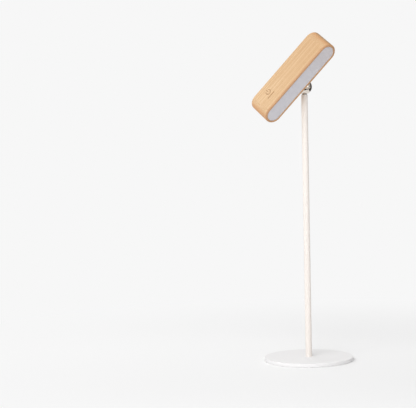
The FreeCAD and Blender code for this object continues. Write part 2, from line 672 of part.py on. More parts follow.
def make_wood_housing():
    wood = stadium("wood_block", "head_length", "head_width", FRONT, BACK)
    end_levels = (value(FRONT), value(BACK))
    round_edges(wood, "wood_rounding", "edge_round", lambda edge: any(
        all(abs(vertex.Point.y - level) < SAME for vertex in edge.Vertexes) for level in end_levels))
    stadium_pocket(wood, "tray_pocket", HOLLOW_LENGTH, HOLLOW_WIDTH, FRONT, LEDGE)
    stadium_pocket(wood, "cell_pocket", CELL_HOLLOW_LENGTH, HOLLOW_WIDTH, FRONT, BACK_WALL)
    front, middle, half_width = value(FRONT), value(MIDDLE), value(HOLLOW_WIDTH) / 2
    round_edges(wood, "rim_easing", "rim_ease", lambda edge: all(
        abs(vertex.Point.y - front) < SAME and abs(vertex.Point.z - middle) < half_width + SAME
        for vertex in edge.Vertexes))
    tools = make_touch_mark() + [
        cylinder("pot_seat", "pot_dia / 2 + glue_gap", f"pot_recess + {OVERCUT}",
                 (0, 0, f"{SEAT_FACE} - {OVERCUT}")),
        cylinder("seat_screw_hole", "seat_screw_dia / 2 + screw_clearance",
                 f"wall + 2 * {OVERCUT}", (0, 0, f"{SEAT_FACE} - {OVERCUT}")),
        block("backing_recess", around("0", "(backing_size + 2 * fit_gap)"),
              around("0", "(backing_size + 2 * fit_gap)"),
              (f"{INNER_SEAT} - backing_thick", f"{INNER_SEAT} + {OVERCUT}")),
        block("usb_recess", around(BOARD_X, "usb_recess_width"),
              (USB_MOUTH, f"{BACK} + {OVERCUT}"),
              around(USB_MIDDLE, "usb_recess_high")),
        block("usb_slot", around(BOARD_X, "(usb_width + 2 * fit_gap)"),
              (f"{BACK_WALL} - {OVERCUT}", BACK), around(USB_MIDDLE, "(usb_high + 2 * fit_gap)")),
        cylinder("light_pipe_hole", "light_pipe_dia / 2", f"wall + 2 * {OVERCUT}",
                 (PIPE_X, f"{BACK_WALL} - {OVERCUT}", USB_MIDDLE), "Y"),
    ]
    for place_name, (x, z) in chassis_screw_places():
        tools.append(cylinder("pilot_" + place_name, "small_screw_dia / 2",
                              f"chassis_screw_bite + {OVERCUT}", (x, f"{LEDGE} - {OVERCUT}", z), "Y"))
    return cut("wood_housing", wood, *tools)


# ---------------------------------------------------------------- light box

def make_diffuser():
    return stadium("diffuser", TRAY_LENGTH, TRAY_WIDTH, DIFFUSER_FRONT, DIFFUSER_BACK)


def make_chassis():
    """Light box with a floor, lugs for the control board and saddles for the cell."""
    tray = stadium("chassis_tray", TRAY_LENGTH, TRAY_WIDTH, DIFFUSER_BACK, LEDGE)
    stadium_pocket(tray, "light_box", f"({TRAY_LENGTH} - 2 * chassis_wall)",
                   f"({TRAY_WIDTH} - 2 * chassis_wall)", DIFFUSER_BACK, FLOOR_FRONT)
    added = [tray]
    removed = [
        cylinder("floor_hole_" + place_name, "small_screw_dia / 2 + screw_clearance",
                 f"floor_thick + 2 * {OVERCUT}", (x, f"{FLOOR_FRONT} - {OVERCUT}", z), "Y")
        for place_name, (x, z) in chassis_screw_places()
    ]
    removed.append(cylinder("lead_hole", "lead_hole_dia / 2", f"floor_thick + 2 * {OVERCUT}",
                            (LEAD_HOLE_X, f"{FLOOR_FRONT} - {OVERCUT}", MIDDLE), "Y"))
    for side, lug_x in BOARD_SCREW_PLACES:
        added.append(block("lug_" + side, around(lug_x, "lug_width"), (LEDGE, f"{LEDGE} + lug_length"),
                           (f"{BOARD_LOW} - lug_thick", BOARD_LOW)))
        removed.append(cylinder("lug_hole_" + side, "small_screw_dia / 2", f"board_screw_bite + {OVERCUT}",
                                (lug_x, "board_screw_y", f"{BOARD_LOW} + {OVERCUT}"), "-Z"))
    for side, sign in (("near", "-"), ("far", "+")):
        saddle_x = f"({CELL_X} {sign} saddle_spread)"
        added.append(block("saddle_" + side, around(saddle_x, "saddle_thick"), (LEDGE, BATTERY_Y),
                           around(MIDDLE, "saddle_width")))
    removed.append(cylinder("cell_room", "battery_dia / 2 + saddle_gap", "battery_length",
                            (CELL_NEAR, BATTERY_Y, MIDDLE), "X"))
    return cut("chassis", fuse("chassis_solid", *added), *removed)


def make_chassis_screws():
    return group("chassis_screws", [
        pan_screw("chassis_screw_" + place_name, "floor_thick + chassis_screw_bite",
                  (x, FLOOR_FRONT, z), "Y")
        for place_name, (x, z) in chassis_screw_places()
    ])


def make_led_board():
    return stadium("led_board", LED_BOARD_LENGTH, LED_BOARD_WIDTH, LED_FRONT, FLOOR_FRONT)


def make_led_chips():
    """Two rows with as many diodes as the light board has room for."""
    count = int(value(f"floor(({LED_BOARD_LENGTH} - 2 * led_inset) / led_pitch)")) + 1
    chips = []
    for side, sign in (("seat", "-"), ("touch", "+")):
        for index in range(count):
            x = f"(led_pitch * {index - (count - 1) / 2})"
            chips.append(block(f"led_{side}_{index + 1}", around(x, "led_length"),
                               (f"{LED_FRONT} - led_thick", LED_FRONT),
                               around(f"({MIDDLE} {sign} led_row_pitch / 2)", "led_width")))
    return group("led_chips", chips)


# ---------------------------------------------------------------- cell

def make_battery_cell():
    can = cylinder("cell_can", "battery_dia / 2", "battery_length - battery_cap_thick",
                   (CELL_NEAR, BATTERY_Y, MIDDLE), "X")
    cap = cylinder("cell_cap", "battery_cap_dia / 2", "2 * battery_cap_thick",
                   (f"{CELL_FAR} - 2 * battery_cap_thick", BATTERY_Y, MIDDLE), "X")
    return fuse("battery_cell", can, cap)


def make_battery_tabs():
    """Nickel strips on both ends of the cell, each with a tail for its lead."""
    y_span = (f"{BATTERY_Y} - battery_dia / 2 - tab_reach", f"{BATTERY_Y} + tab_width / 2")
    z_span = around(MIDDLE, "tab_width")
    return group("battery_tabs", [
        block("tab_near", (f"{CELL_NEAR} - tab_thick", CELL_NEAR), y_span, z_span),
        block("tab_far", (CELL_FAR, f"{CELL_FAR} + tab_thick"), y_span, z_span),
    ])


def make_battery_pads():
    y_span = (f"{BACK_WALL} - battery_pad_thick", BACK_WALL)
    return group("battery_pads", [
        block("pad_" + side, around(f"({CELL_X} {sign} pad_spread)", "battery_pad_length"),
              y_span, around(MIDDLE, "battery_pad_width"))
        for side, sign in (("near", "-"), ("far", "+"))
    ])


# ---------------------------------------------------------------- control board

def make_control_board():
    board = block("board_solid", (BOARD_NEAR, BOARD_FAR), (BOARD_FRONT, BOARD_BACK),
                  (BOARD_LOW, BOARD_TOP))
    holes = [
        cylinder("board_hole_" + side, "small_screw_dia / 2 + screw_clearance",
                 f"board_thick + 2 * {OVERCUT}", (x, "board_screw_y", f"{BOARD_LOW} - {OVERCUT}"))
        for side, x in BOARD_SCREW_PLACES
    ]
    return cut("control_board", board, *holes)


def make_board_screws():
    return group("board_screws", [
        pan_screw("board_screw_" + side, "board_thick + board_screw_bite",
                  (x, "board_screw_y", BOARD_TOP), "-Z")
        for side, x in BOARD_SCREW_PLACES
    ])


def make_board_components():
    """Touch controller, charger, light driver, coil and indicator diode on the control board."""
    chips = [
        ("touch_chip", "touch_chip_size", f"({BOARD_NEAR} + near_parts_inset)", BACK_ROW),
        ("charge_chip", "charge_chip_size", f"({BOARD_X} + charge_chip_x)", BACK_ROW),
        ("switch_chip", "switch_chip_size", f"({BOARD_NEAR} + near_parts_inset)", FRONT_ROW),
    ]
    components = [
        block(name, around(x, size), around(y, size), (BOARD_TOP, f"{BOARD_TOP} + chip_high"))
        for name, size, x, y in chips
    ]
    coil = cylinder("coil", "coil_dia / 2", "coil_high",
                    (f"{BOARD_FAR} - coil_inset", FRONT_ROW, BOARD_TOP))
    indicator = block("indicator", around(PIPE_X, "indicator_length"),
                      (f"{PIPE_END} - indicator_length", f"{PIPE_END} - indicator_gap"),
                      (f"{BOARD_LOW} - indicator_high", BOARD_LOW))
    return group("board_components", components + [coil, indicator])


def make_usb_shell():
    """Metal tube of the charging socket, open at the back of the head."""
    shell = block("usb_shell_solid", around(BOARD_X, "usb_width"),
                  (f"{USB_MOUTH} - usb_length", USB_MOUTH), around(USB_MIDDLE, "usb_high"))
    room = block("usb_room", around(BOARD_X, USB_ROOM_WIDTH),
                 (f"{USB_MOUTH} - usb_length - {OVERCUT}", f"{USB_MOUTH} + {OVERCUT}"),
                 around(USB_MIDDLE, USB_ROOM_HIGH))
    return cut("usb_shell", shell, room)


def make_usb_insert():
    """Plastic back of the charging socket with the tongue that carries its contacts."""
    root_end = f"({USB_MOUTH} - usb_plug_depth)"
    root = block("usb_root", around(BOARD_X, USB_ROOM_WIDTH),
                 (f"{USB_MOUTH} - usb_length", root_end), around(USB_MIDDLE, USB_ROOM_HIGH))
    tongue = block("usb_tongue_solid", around(BOARD_X, "usb_tongue_width"),
                   (root_end, f"{USB_MOUTH} - usb_shell"), around(USB_MIDDLE, "usb_tongue"))
    return fuse("usb_insert", root, tongue)


def make_charge_light_pipe():
    return cylinder("charge_light_pipe", "light_pipe_dia / 2", "light_pipe_tail + wall",
                    (PIPE_X, PIPE_END, USB_MIDDLE), "Y")


def make_touch_pad():
    return cylinder("touch_pad", "touch_pad_dia / 2", "touch_pad_thick",
                    (MARK_X, 0, f"{INNER_TOUCH} - touch_pad_thick"))


def make_touch_spring():
    """Coil spring between the control board and the copper disc, wound in rising half turns."""
    wire = value("spring_wire / 2")
    radius = value("spring_dia / 2")
    height = value(f"{INNER_TOUCH} - touch_pad_thick - {BOARD_TOP} - spring_wire")
    half_turns = 2 * round(height / value("spring_pitch"))
    rise = height / half_turns
    bulge = math.hypot(radius, rise / 2)
    turns = []
    for index in range(half_turns):
        side = 1 if index % 2 == 0 else -1
        turns.append(Part.Arc(Vector(side * radius, 0, index * rise),
                              Vector(0, side * bulge, (index + 0.5) * rise),
                              Vector(-side * radius, 0, (index + 1) * rise)).toShape())
    section = Part.Wire(Part.makeCircle(wire, Vector(radius, 0, 0), SIDEWAYS))
    obj = doc.addObject("Part::Feature", "touch_spring")
    obj.Shape = Part.Wire(turns).makePipeShell([section], True, False)
    return place(obj, (MARK_X, 0, f"{BOARD_TOP} + spring_wire / 2"), Rotation())


# ---------------------------------------------------------------- leads

def make_battery_lead_red():
    """From the far end of the cell, past both saddles, to the control board."""
    return lead("battery_lead_red", "battery_lead_dia", [
        (CELL_FAR, CELL_SIDE, MIDDLE),
        (f"{CELL_FAR} - lead_start", CELL_SIDE, MIDDLE),
        (f"{CELL_X} + saddle_spread + saddle_thick + lead_start", CELL_SIDE, BESIDE_SADDLES),
        (f"{CELL_NEAR} - lead_gap", CELL_SIDE, BESIDE_SADDLES),
        (f"{BOARD_FAR} + lead_end", f"{BOARD_FRONT} + red_lead_y - lead_rise",
         f"{CELL_LEAD_SOLDER} + lead_rise"),
        (SOLDER_X, f"{BOARD_FRONT} + red_lead_y", CELL_LEAD_SOLDER),
    ])


def make_battery_lead_black():
    """From the near end of the cell to the control board."""
    start = f"({CELL_NEAR} - tab_thick)"
    level = f"({MIDDLE} + black_lead_offset)"
    return lead("battery_lead_black", "battery_lead_dia", [
        (start, CELL_SIDE, level),
        (f"{start} - lead_start", CELL_SIDE, level),
        (f"{BOARD_FAR} + lead_end", f"{BOARD_FRONT} + black_lead_y - lead_rise",
         f"{CELL_LEAD_SOLDER} + lead_rise"),
        (SOLDER_X, f"{BOARD_FRONT} + black_lead_y", CELL_LEAD_SOLDER),
    ])


def make_led_leads():
    """Two leads from the light board through the chassis floor to the control board."""
    leads = []
    for name, side, opposite, rise in (("low", "-", "+", "0"), ("high", "+", "-", "2 * led_lead_spread")):
        z = f"({MIDDLE} {side} led_lead_spread)"
        y = f"({BOARD_FRONT} + led_lead_y {opposite} led_lead_spread)"
        leads.append(lead("led_lead_" + name, "led_lead_dia", [
            (LEAD_HOLE_X, FLOOR_FRONT, z),
            (LEAD_HOLE_X, BOARD_FRONT, z),
            (f"{BOARD_FAR} + lead_rise", y, f"{LED_LEAD_SOLDER} + {rise}"),
            (SOLDER_X, y, LED_LEAD_SOLDER),
        ]))
    return group("led_leads", leads)


# ---------------------------------------------------------------- assembly

STAND_PARTS = [
    make_base_pad(),
    make_base_plate(),
    make_base_screw(),
    make_pole_tube(),
    make_pole_foot_insert(),
    make_pole_top_plug(),
    make_ball_stud(),
    make_steel_ball(),
]

HEAD_PARTS = [
    make_magnet_pot(),
    make_seat_magnet(),
    make_seat_ring(),
    make_seat_screw(),
    make_backing_plate(),
    make_wood_housing(),
    make_diffuser(),
    make_chassis(),
    make_chassis_screws(),
    make_led_board(),
    make_led_chips(),
    make_battery_cell(),
    make_battery_tabs(),
    make_battery_pads(),
    make_control_board(),
    make_board_screws(),
    make_board_components(),
    make_usb_shell(),
    make_usb_insert(),
    make_charge_light_pipe(),
    make_touch_pad(),
    make_touch_spring(),
    make_battery_lead_red(),
    make_battery_lead_black(),
    make_led_leads(),
]

doc.recompute()

# The ball joint sets the head: around the pole, then down from upright, then about the seat.
pose = Rotation(UP, value("swivel_angle"))
pose = pose.multiply(Rotation(SIDEWAYS, value("tilt_angle")))
pose = pose.multiply(Rotation(UP, value("spin_angle")))
head_placement = Placement(Vector(0, 0, value("ball_height")), pose)

for part in HEAD_PARTS:
    for axis in "xyz":
        part.setExpression("Placement.Base." + axis, None)
    part.Placement = head_placement.multiply(part.Placement)
doc.recompute()

for obj in doc.Objects:
    if {"Invalid", "Error"} & set(obj.State):
        raise RuntimeError(f"{obj.Label} failed: {obj.State}")

os.makedirs("parts", exist_ok=True)
for part in STAND_PARTS + HEAD_PARTS:
    if part.Shape.isNull() or not part.Shape.isValid():
        raise RuntimeError(f"{part.Label} has no valid shape")
    part.Shape.exportStep(f"parts/{part.Label}.step")
    print(f"{part.Label}: {len(part.Shape.Solids)} solid(s), {part.Shape.Volume / 1000:.2f} cm3")
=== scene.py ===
"""Looks of the magnetic balance lamp: materials, stage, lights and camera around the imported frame.

Metres, +Z up, origin at the centre of the underside of the foot. Materials count in millimetres.
"""

import json
import math

import bpy
from mathutils import Matrix, Vector


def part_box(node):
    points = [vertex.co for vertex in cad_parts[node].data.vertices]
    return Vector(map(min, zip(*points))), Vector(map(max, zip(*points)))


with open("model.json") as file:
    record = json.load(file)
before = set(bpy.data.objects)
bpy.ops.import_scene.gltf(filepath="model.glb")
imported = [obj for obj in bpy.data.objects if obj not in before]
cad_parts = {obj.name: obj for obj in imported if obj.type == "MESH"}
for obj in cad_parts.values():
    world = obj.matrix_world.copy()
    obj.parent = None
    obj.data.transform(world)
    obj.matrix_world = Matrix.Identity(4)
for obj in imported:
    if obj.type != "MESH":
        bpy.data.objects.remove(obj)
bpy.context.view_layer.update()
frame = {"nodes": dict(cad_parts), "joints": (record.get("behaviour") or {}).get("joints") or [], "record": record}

MM = 0.001


# ---------------------------------------------------------------- the head's own axes

def mount(name):
    """Mount of the record, by its name."""
    return next(item for item in frame["record"]["mounts"] if item["name"] == name)


def joint(name):
    """Joint of the frame, by its name."""
    return next(item for item in frame["joints"] if item["name"] == name)


BALL_CENTRE = Vector(joint("spin")["pos_m"])
ACROSS = Vector(joint("spin")["axis"]).normalized()             # from the ball to the touch face
BACKWARD = Vector(mount("charging_port")["axis"]).normalized()  # from the diffuser to the back
ALONG = BACKWARD.cross(ACROSS)                                  # from the touch mark to the other end
HEAD_TURN = Matrix((ALONG, BACKWARD, ACROSS))                   # row frame to head frame
HEAD_EULER = HEAD_TURN.to_euler()
HEAD_SHIFT = -(HEAD_TURN @ BALL_CENTRE)


def head_span(node):
    """Lowest and highest corner of a CAD node in the head's frame."""
    points = [HEAD_TURN @ vertex.co + HEAD_SHIFT for vertex in frame["nodes"][node].data.vertices]
    return (Vector(min(point[axis] for point in points) for axis in range(3)),
            Vector(max(point[axis] for point in points) for axis in range(3)))


TOUCH_FACE = head_span("wood_housing")[1].z / MM                 # its height in the head's frame
MARK_ALONG = (sum(head_span("touch_pad"), Vector()) / 2).x / MM  # the touch mark's place along it


# ---------------------------------------------------------------- node trees in short form

def linear(red, green, blue):
    """Colour of an sRGB value from 0 to 255, as the shaders take it."""
    def decode(level):
        share = level / 255
        return share / 12.92 if share <= 0.04045 else ((share + 0.055) / 1.055) ** 2.4
    return (decode(red), decode(green), decode(blue), 1)


def tinted(colour, share):
    """The colour darkened or lightened by a share."""
    return tuple(min(1.0, channel * share) for channel in colour[:3]) + (1,)


class Tree:
    """Node tree of a material or a world, and short forms for the nodes that it is made of."""

    def __init__(self, owner, output_kind):
        owner.use_nodes = True
        self.owner = owner
        self.tree = owner.node_tree
        self.tree.nodes.clear()
        self.output = self.node(output_kind)

    def feed(self, socket, source):
        """Link a socket to another one, or set its value."""
        if isinstance(source, bpy.types.NodeSocket):
            self.tree.links.new(source, socket)
        else:
            socket.default_value = source

    def node(self, kind, inputs=None, **settings):
        made = self.tree.nodes.new("ShaderNode" + kind)
        for name, setting in settings.items():
            setattr(made, name, setting)
        for name, source in (inputs or {}).items():
            self.feed(made.inputs[name], source)
        return made

    def math(self, operation, *terms):
        made = self.node("Math", operation=operation)
        for socket, term in zip(made.inputs, terms):
            self.feed(socket, term)
        return made.outputs[0]

    def vector(self, operation, *terms):
        made = self.node("VectorMath", operation=operation)
        for socket, term in zip(made.inputs, terms):
            self.feed(socket, term)
        return made.outputs["Value" if operation in ("DOT_PRODUCT", "LENGTH") else "Vector"]

    def axis(self, place, name):
        """One coordinate of a place."""
        return self.node("SeparateXYZ", {"Vector": place}).outputs[name]

    def mix(self, share, first, second):
        """Colour between two others; a colour mix keeps them in its seventh and eighth sockets."""
        made = self.node("Mix", data_type="RGBA")
        self.feed(made.inputs["Factor"], share)
        self.feed(made.inputs[6], first)
        self.feed(made.inputs[7], second)
        return made.outputs[2]

    def remap(self, source, low, high, to_low=0.0, to_high=1.0, smooth=True):
        """A value between two limits, brought between two others and held there."""
        return self.node("MapRange", {
            "Value": source, "From Min": low, "From Max": high, "To Min": to_low, "To Max": to_high,
        }, interpolation_type="SMOOTHSTEP" if smooth else "LINEAR").outputs["Result"]

    def place(self):
        """Place on the part at rest, in millimetres of the row frame."""
        coordinates = self.node("TexCoord").outputs["Object"]
        return self.node("VectorMath", {"Vector": coordinates, "Scale": 1 / MM},
                         operation="SCALE").outputs["Vector"]

    def head_place(self):
        """Place on the part at rest, in millimetres of the head's frame."""
        coordinates = self.node("TexCoord").outputs["Object"]
        return self.node("Mapping", {
            "Vector": coordinates, "Location": HEAD_SHIFT / MM, "Rotation": HEAD_EULER,
            "Scale": (1 / MM,) * 3,
        }).outputs["Vector"]

    def stretched(self, place, sizes):
        """Place divided by a feature's size, one for all axes or one for each."""
        return self.vector("DIVIDE", place, sizes if isinstance(sizes, tuple) else (sizes,) * 3)

    def noise(self, place, sizes, detail=2.0, roughness=0.5):
        return self.node("TexNoise", {
            "Vector": self.stretched(place, sizes), "Scale": 1.0, "Detail": detail,
            "Roughness": roughness,
        }).outputs["Fac"]

    def bump(self, height, depth_mm, strength):
        """Relief whose height from 0 to 1 stands for a depth in millimetres."""
        return self.node("Bump", {
            "Strength": strength, "Distance": depth_mm * MM, "Height": height,
        }).outputs["Normal"]

    def shade(self, shader):
        """Let a shader colour the owner's surface."""
        self.feed(self.output.inputs["Surface"], shader.outputs[0])
        return self.owner

    def surface(self, inputs):
        return self.shade(self.node("BsdfPrincipled", inputs))


def material_tree(name):
    return Tree(bpy.data.materials.new(name), "OutputMaterial")


# ---------------------------------------------------------------- finishes of what shows

WOOD_MIDDLE = linear(194, 156, 113)
WOOD_LIGHT = linear(226, 199, 163)
WOOD_DARK = linear(192, 152, 110)
FLECK = linear(172, 127, 88)
# Painted shade, deepening along the head towards its upper end.
UPPER_END_SHADE = linear(180, 139, 95)
END_GRAIN = linear(210, 144, 85)
# Painted shade on the face of the far, upper end.
FAR_END_SHADE = linear(168, 130, 87)
# Painted shade on the wood that faces the diffuser's side.
FRONT_FACE_SHADE = linear(184, 138, 100)
SCORCHED = linear(156, 115, 79)

# The wood's sizes are millimetres, and those of three numbers go along, backward and across the head.
PITH = (0, 70, -95)                 # a point of the line that the rings run around
RING_GAP = 3.6
DRIFT_SIZE, DRIFT = (90, 24, 24), 9         # long bends of the rings, and how far they go
WANDER_SIZE, WANDER = (22, 5, 5), 1.1       # and short ones
FIBRE_SIZE = (36, 0.55, 0.55)
STREAK_SIZE = (300, 0.55, 0.55)
CLOUD_SIZE = (45, 18, 18)
FLECK_SIZE = (3.4, 0.62, 0.62)
UPPER_SHADE_REACH = 85                   # from the middle of the head to past each end
MARK_REACH = {"X": 12, "Y": 13}     # scorched this far around the touch mark
MARK_BLUR = 0.5
MARK_TOP, MARK_FLOOR = 0.03, 0.5    # scorched between these depths below the touch face
MARK_TOP_BLUR = 0.05


def make_wood():
    """Pale beech, grain along the head: rings, fibres and short flecks; the touch mark is scorched. Painted shade
    darkens the upper end, the far end's face and the face round the diffuser.
    """
    tree = material_tree("pale_wood")
    place = tree.head_place()
    drift = tree.noise(place, DRIFT_SIZE, detail=3)
    wander = tree.noise(place, WANDER_SIZE, detail=2)
    spoke = tree.vector("MULTIPLY", tree.vector("SUBTRACT", place, PITH), (0, 1, 1))
    radius = tree.math("MULTIPLY_ADD", drift, DRIFT, tree.vector("LENGTH", spoke))
    radius = tree.math("MULTIPLY_ADD", wander, WANDER, radius)
    phase = tree.math("FRACT", tree.math("DIVIDE", radius, RING_GAP))
    late_wood = tree.math("MULTIPLY", tree.remap(phase, 0.25, 0.9), tree.remap(phase, 1.0, 0.92))
    fibres = tree.noise(place, FIBRE_SIZE, detail=3, roughness=0.6)
    streaks = tree.noise(place, STREAK_SIZE, detail=1)
    cloud = tree.noise(place, CLOUD_SIZE, detail=2)

    cells = tree.node("TexVoronoi", {
        "Vector": tree.stretched(place, FLECK_SIZE), "Scale": 1.0, "Randomness": 1.0,
    })
    chosen = tree.node("SeparateColor", {"Color": cells.outputs["Color"]}).outputs["Red"]
    fleck = tree.math("MULTIPLY", tree.remap(cells.outputs["Distance"], 0.34, 0.16),
                      tree.remap(chosen, 0.62, 0.7))

    colour = tree.mix(tree.remap(streaks, 0.32, 0.68), WOOD_MIDDLE, WOOD_LIGHT)
    colour = tree.mix(tree.math("MULTIPLY", late_wood, 0.08), colour, WOOD_DARK)
    colour = tree.mix(tree.remap(fibres, 0.4, 0.72, 0.0, 0.5), colour, WOOD_DARK)
    colour = tree.mix(tree.remap(cloud, 0.35, 0.75, 0.0, 0.15), colour, WOOD_MIDDLE)
    colour = tree.mix(tree.math("MULTIPLY", fleck, 0.38), colour, FLECK)
    # Painted shade: the wood darkens along the head towards its upper end.
    upper_shade = tree.remap(tree.axis(place, "X"), -UPPER_SHADE_REACH, UPPER_SHADE_REACH, 0.0, 0.42, smooth=False)
    colour = tree.mix(upper_shade, colour, UPPER_END_SHADE)

    normal = tree.node("TexCoord").outputs["Normal"]
    endwards = tree.vector("DOT_PRODUCT", normal, tuple(ALONG))
    frontwards = tree.vector("DOT_PRODUCT", normal, tuple(-BACKWARD))
    end_grain = tree.remap(tree.math("ABSOLUTE", endwards), 0.35, 0.95, 0.0, 0.65)
    colour = tree.mix(end_grain, colour, END_GRAIN)
    # Painted shade on the faces that turn towards the far end.
    colour = tree.mix(tree.remap(endwards, 0.65, 1.0), colour, FAR_END_SHADE)
    # Painted shade on the wood faces that turn towards the diffuser's side.
    colour = tree.mix(tree.remap(frontwards, 0.05, 0.6, 0.0, 0.85), colour, FRONT_FACE_SHADE)
    colour = tree.mix(touch_mark(tree, place), colour, SCORCHED)

    grain = tree.math("SUBTRACT", fibres, tree.math("MULTIPLY", fleck, 0.5))
    return tree.surface({
        "Base Color": colour,
        "Roughness": tree.remap(fibres, 0.3, 0.8, 0.46, 0.58),
        "Specular IOR Level": 0.35,
        "Normal": tree.bump(grain, 0.05, 0.55),
    })


def touch_mark(tree, place):
    """1 in the engraved lines of the touch mark and 0 elsewhere on the wood."""
    height = tree.axis(place, "Z")
    top = tree.remap(height, TOUCH_FACE - MARK_TOP, TOUCH_FACE - MARK_TOP - MARK_TOP_BLUR)
    floor = tree.remap(height, TOUCH_FACE - MARK_FLOOR, TOUCH_FACE - MARK_FLOOR + MARK_TOP_BLUR)
    share = tree.math("MULTIPLY", top, floor)
    from_mark = {"X": tree.math("SUBTRACT", tree.axis(place, "X"), MARK_ALONG),
                 "Y": tree.axis(place, "Y")}
    for name, reach in MARK_REACH.items():
        near = tree.remap(tree.math("ABSOLUTE", from_mark[name]), reach, reach - MARK_BLUR)
        share = tree.math("MULTIPLY", share, near)
    return share


def make_white_coat(name, colour):
    """Matt powder coat with its fine orange peel."""
    tree = material_tree(name)
    place = tree.place()
    peel = tree.noise(place, 1.3, detail=1)
    cloud = tree.noise(place, 22, detail=2)
    shade = tree.mix(tree.remap(cloud, 0.3, 0.7), tinted(colour, 0.993), colour)
    return tree.surface({
        "Base Color": shade,
        "Roughness": tree.remap(cloud, 0.3, 0.7, 0.54, 0.6),
        "Specular IOR Level": 0.25,
        "Normal": tree.bump(peel, 0.01, 0.25),
    })


CHROME_DULL = linear(226, 217, 207)
CHROME_BRIGHT = linear(236, 228, 219)


def make_chrome():
    """Polished chrome with the faintest of wipe marks."""
    tree = material_tree("ball_chrome")
    smear = tree.noise(tree.place(), (6, 6, 2.5), detail=4, roughness=0.6)
    return tree.surface({
        "Base Color": tree.mix(tree.remap(smear, 0.3, 0.7), CHROME_DULL, CHROME_BRIGHT),
        "Metallic": 1.0,
        "Roughness": tree.remap(smear, 0.35, 0.75, 0.025, 0.055),
    })


FROST_DARK = linear(200, 198, 203)
FROST_LIGHT = linear(202, 200, 205)
# Painted shade: the frost darkens towards the head's far end.
FROST_FAR_SHADE = linear(197, 192, 194)
FROST_SHADE_REACH = 75                # from the middle of the head to its far end


def make_diffuser():
    """Frosted cover, unlit, with a fine satin texture and painted shade towards its far end."""
    tree = material_tree("diffuser_frost")
    place = tree.head_place()
    frost = tree.noise(place, 0.35, detail=2)
    cloud = tree.noise(place, 30, detail=1)
    tone = tree.mix(tree.remap(cloud, 0.3, 0.7), FROST_DARK, FROST_LIGHT)
    # Painted shade, deepening towards the far end.
    tone = tree.mix(tree.remap(tree.axis(place, "X"), 0, FROST_SHADE_REACH), tone, FROST_FAR_SHADE)
    return tree.surface({
        "Base Color": tone,
        "Roughness": tree.remap(frost, 0.3, 0.7, 0.5, 0.6),
        "Specular IOR Level": 0.4,
        "Subsurface Weight": 0.08,
        "Subsurface Radius": (1.0, 1.0, 1.0),
        "Subsurface Scale": 1.5 * MM,
        "Normal": tree.bump(frost, 0.01, 0.3),
    })


# ---------------------------------------------------------------- finishes of the rest

def make_metal(name, colour, roughness):
    """Bare or plated metal with fine tool marks."""
    tree = material_tree(name)
    marks = tree.noise(tree.place(), 0.25, detail=3, roughness=0.6)
    return tree.surface({
        "Base Color": tree.mix(tree.remap(marks, 0.3, 0.7), tinted(colour, 0.92), tinted(colour, 1.05)),
        "Metallic": 1.0,
        "Roughness": tree.remap(marks, 0.3, 0.7, roughness - 0.06, roughness + 0.06),
        "Normal": tree.bump(marks, 0.01, 0.4),
    })


def make_moulded(name, colour, roughness=0.5, grain_size=0.4, relief=0.015):
    """Moulded or rubbery surface with a fine even texture."""
    tree = material_tree(name)
    texture = tree.noise(tree.place(), grain_size, detail=2)
    return tree.surface({
        "Base Color": tree.mix(tree.remap(texture, 0.3, 0.7), tinted(colour, 0.9), tinted(colour, 1.08)),
        "Roughness": tree.remap(texture, 0.3, 0.7, roughness - 0.05, roughness + 0.05),
        "Normal": tree.bump(texture, relief, 0.6),
    })


def dress():
    """Give every CAD node its finish."""
    steel = make_metal("plated_steel", linear(196, 196, 194), 0.34)
    nickel = make_metal("nickel", linear(214, 210, 200), 0.26)
    black_plastic = make_moulded("chip_black", linear(38, 38, 40), 0.45)
    finishes = {
        "base_pad": make_moulded("foot_pad", linear(232, 232, 230), 0.7, 0.9, 0.06),
        "base_plate": make_white_coat("foot_coat", linear(230, 229, 229)),
        "base_screw": steel,
        "pole_tube": make_white_coat("pole_coat", linear(232, 225, 219)),
        "pole_foot_insert": steel,
        "pole_top_plug": steel,
        "ball_stud": steel,
        "steel_ball": make_chrome(),
        "magnet_pot": make_metal("pot_nickel", linear(204, 202, 198), 0.3),
        "seat_magnet": nickel,
        "seat_ring": make_moulded("seat_nylon", linear(70, 70, 72), 0.4),
        "seat_screw": steel,
        "backing_plate": steel,
        "wood_housing": make_wood(),
        "diffuser": make_diffuser(),
        "chassis": make_moulded("white_plastic", linear(240, 240, 238)),
        "chassis_screws": steel,
        "led_board": make_moulded("board_white", linear(243, 243, 240), 0.4, 1.2, 0.01),
        "led_chips": make_moulded("led_phosphor", linear(238, 214, 112), 0.3, 0.8, 0.01),
        "battery_cell": make_moulded("cell_wrap", linear(64, 112, 160), 0.35, 3.0, 0.01),
        "battery_tabs": nickel,
        "battery_pads": make_moulded("grey_foam", linear(92, 92, 94), 0.9, 0.7, 0.12),
        "control_board": make_moulded("board_green", linear(34, 96, 62), 0.4, 1.6, 0.01),
        "board_screws": steel,
        "board_components": black_plastic,
        "usb_shell": steel,
        "usb_insert": black_plastic,
        "charge_light_pipe": make_moulded("clear_pipe", linear(226, 230, 230), 0.25, 1.0, 0.005),
        "touch_pad": make_metal("copper", linear(214, 140, 104), 0.3),
        "touch_spring": nickel,
        "battery_lead_red": make_moulded("lead_red", linear(176, 34, 28)),
        "battery_lead_black": make_moulded("lead_black", linear(34, 34, 34)),
        "led_leads": make_moulded("lead_white", linear(228, 228, 224)),
    }
    for name, finish in finishes.items():
        for material_slot in frame["nodes"][name].material_slots:
            material_slot.material = finish


# ---------------------------------------------------------------- stage

BACKGROUND = linear(247, 247, 247)
